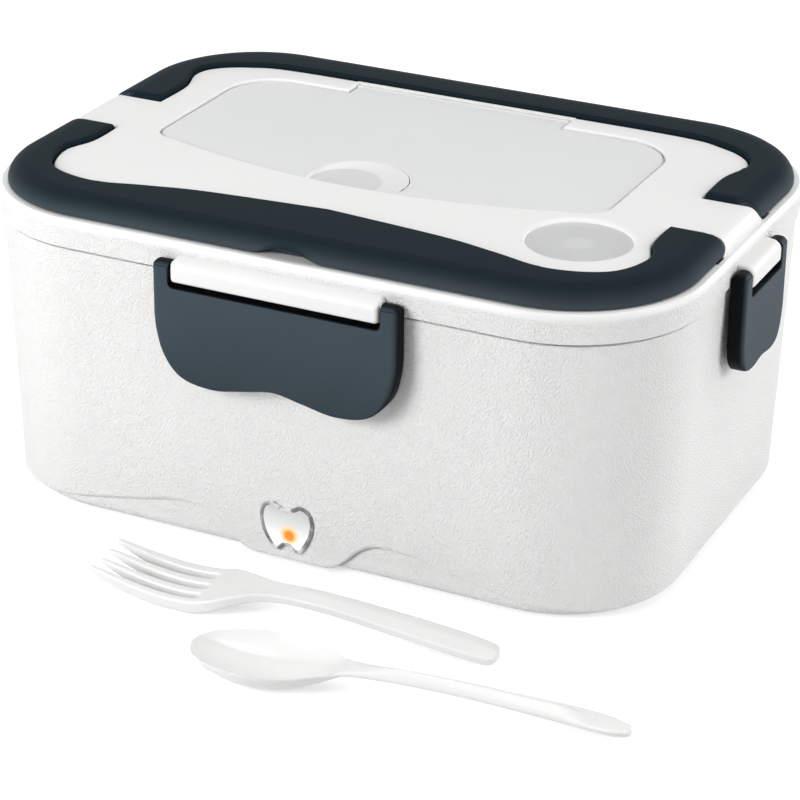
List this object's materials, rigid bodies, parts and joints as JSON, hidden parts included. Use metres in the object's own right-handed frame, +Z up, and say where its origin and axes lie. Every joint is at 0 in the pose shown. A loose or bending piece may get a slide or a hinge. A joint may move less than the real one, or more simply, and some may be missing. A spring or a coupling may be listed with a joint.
{
  "type": "electric lunch box",
  "caption": "Portable electric lunch box: white heated body, lift-off lid with clip latches, fold-up dark handles and a frosted cutlery compartment, with fork and spoon.",
  "frame": {"origin": "on the floor under the middle of the box, at the flat underside of its base", "axes": "+X along the long side, to the right seen from the front; the indicator lens faces -Y; +Z up"},
  "size_m": [0.2596, 0.2501, 0.11],
  "materials": {
    "white_body": "fine pebble texture",
    "white_lid": "smooth satin",
    "slate": "satin",
    "frosted": "frosted translucent",
    "clear": "clear",
    "container_plastic": "smooth satin",
    "cutlery_white": "glossy",
    "silicone": "soft matt",
    "rubber_feet": "matt",
    "steel": "brushed",
    "aluminium": "milled",
    "heater_film": "polyimide film",
    "glass_fibre": "felted",
    "black_plastic": "matt",
    "bakelite": "matt",
    "board": "solder mask",
    "lamp": "diffuse resin",
    "lead_red": "silicone insulation",
    "nickel": "nickel plate"
  },
  "bodies": {
    "box": {"outer_shell": "white_body", "base_plate": "white_body", "inner_liner": "white_lid", "base_screw_1": "steel", "base_screw_2": "steel", "base_screw_3": "steel", "base_screw_4": "steel", "foot_pad_1": "rubber_feet", "foot_pad_2": "rubber_feet", "foot_pad_3": "rubber_feet", "foot_pad_4": "rubber_feet", "heating_plate": "aluminium", "ptc_heater": "heater_film", "heater_clamp": "steel", "clamp_screw_1": "steel", "clamp_screw_2": "steel", "thermostat": "bakelite", "thermal_fuse": "nickel", "insulation_pad": "glass_fibre", "wiring": "lead_red", "power_inlet": "black_plastic", "inlet_pin_1": "nickel", "inlet_pin_2": "nickel", "indicator_lens": "clear", "signal_lamp": "lamp", "lamp_board": "board"},
    "lid": {"lid_shell": "white_lid", "lid_inner": "white_lid", "lid_seal": "silicone", "handle_pin_1": "steel", "handle_pin_2": "steel", "handle_pin_3": "steel", "handle_pin_4": "steel", "latch_pin_front": "steel", "latch_pin_rear": "steel", "latch_pin_left": "steel", "latch_pin_right": "steel"},
    "food_container": {"food_container": "container_plastic"},
    "small_container": {"small_container": "container_plastic"},
    "compartment_cover": {"compartment_cover": "frosted"},
    "vent_plug": {"vent_plug": "silicone"},
    "front_handle": {"front_handle": "slate"},
    "rear_handle": {"rear_handle": "slate"},
    "latch_front": {"latch_front": "slate"},
    "latch_rear": {"latch_rear": "slate"},
    "latch_left": {"latch_left": "slate"},
    "latch_right": {"latch_right": "slate"},
    "fork": {"fork": "cutlery_white"},
    "spoon": {"spoon": "cutlery_white"}
  },
  "joints": [
    {"name": "lid_lift", "type": "slide", "parent": "box", "child": "lid", "axis": [0, 0, 1], "range_m": [0, 0.2]},
    {"name": "food_container_lift", "type": "slide", "parent": "box", "child": "food_container", "axis": [0, 0, 1], "range_m": [0, 0.072]},
    {"name": "small_container_lift", "type": "slide", "parent": "food_container", "child": "small_container", "axis": [0, 0, 1], "range_m": [0, 0.06]},
    {"name": "latch_front_hinge", "type": "hinge", "parent": "lid", "child": "latch_front", "pos_m": [0, -0.08675, 0.0973], "axis": [-1, 0, 0], "range_deg": [0, 110]},
    {"name": "latch_rear_hinge", "type": "hinge", "parent": "lid", "child": "latch_rear", "pos_m": [0, 0.08675, 0.0973], "axis": [1, 0, 0], "range_deg": [0, 110]},
    {"name": "latch_right_hinge", "type": "hinge", "parent": "lid", "child": "latch_right", "pos_m": [0.12175, 0, 0.0973], "axis": [0, -1, 0], "range_deg": [0, 110]},
    {"name": "latch_left_hinge", "type": "hinge", "parent": "lid", "child": "latch_left", "pos_m": [-0.12175, 0, 0.0973], "axis": [0, 1, 0], "range_deg": [0, 110]},
    {"name": "front_handle_hinge", "type": "hinge", "parent": "lid", "child": "front_handle", "pos_m": [0, -0.022, 0.1062], "axis": [-1, 0, 0], "range_deg": [0, 90]},
    {"name": "rear_handle_hinge", "type": "hinge", "parent": "lid", "child": "rear_handle", "pos_m": [0, 0.0195, 0.1062], "axis": [1, 0, 0], "range_deg": [0, 90]},
    {"name": "cover_hinge", "type": "hinge", "parent": "lid", "child": "compartment_cover", "pos_m": [0, 0.06, 0.107], "axis": [-1, 0, 0], "range_deg": [0, 100]},
    {"name": "vent_plug_lift", "type": "slide", "parent": "lid", "child": "vent_plug", "axis": [0, 0, 1], "range_m": [0, 0.018]},
    {"name": "fork_lift", "type": "slide", "parent": "box", "child": "fork", "axis": [0, 0, 1], "range_m": [0, 0.06]},
    {"name": "spoon_lift", "type": "slide", "parent": "box", "child": "spoon", "axis": [0, 0, 1], "range_m": [0, 0.06]}
  ],
  "couplings": [
    {"joint": "food_container_lift", "follows": "lid_lift", "ratio": 0.36},
    {"joint": "small_container_lift", "follows": "lid_lift", "ratio": 0.3}
  ]
}
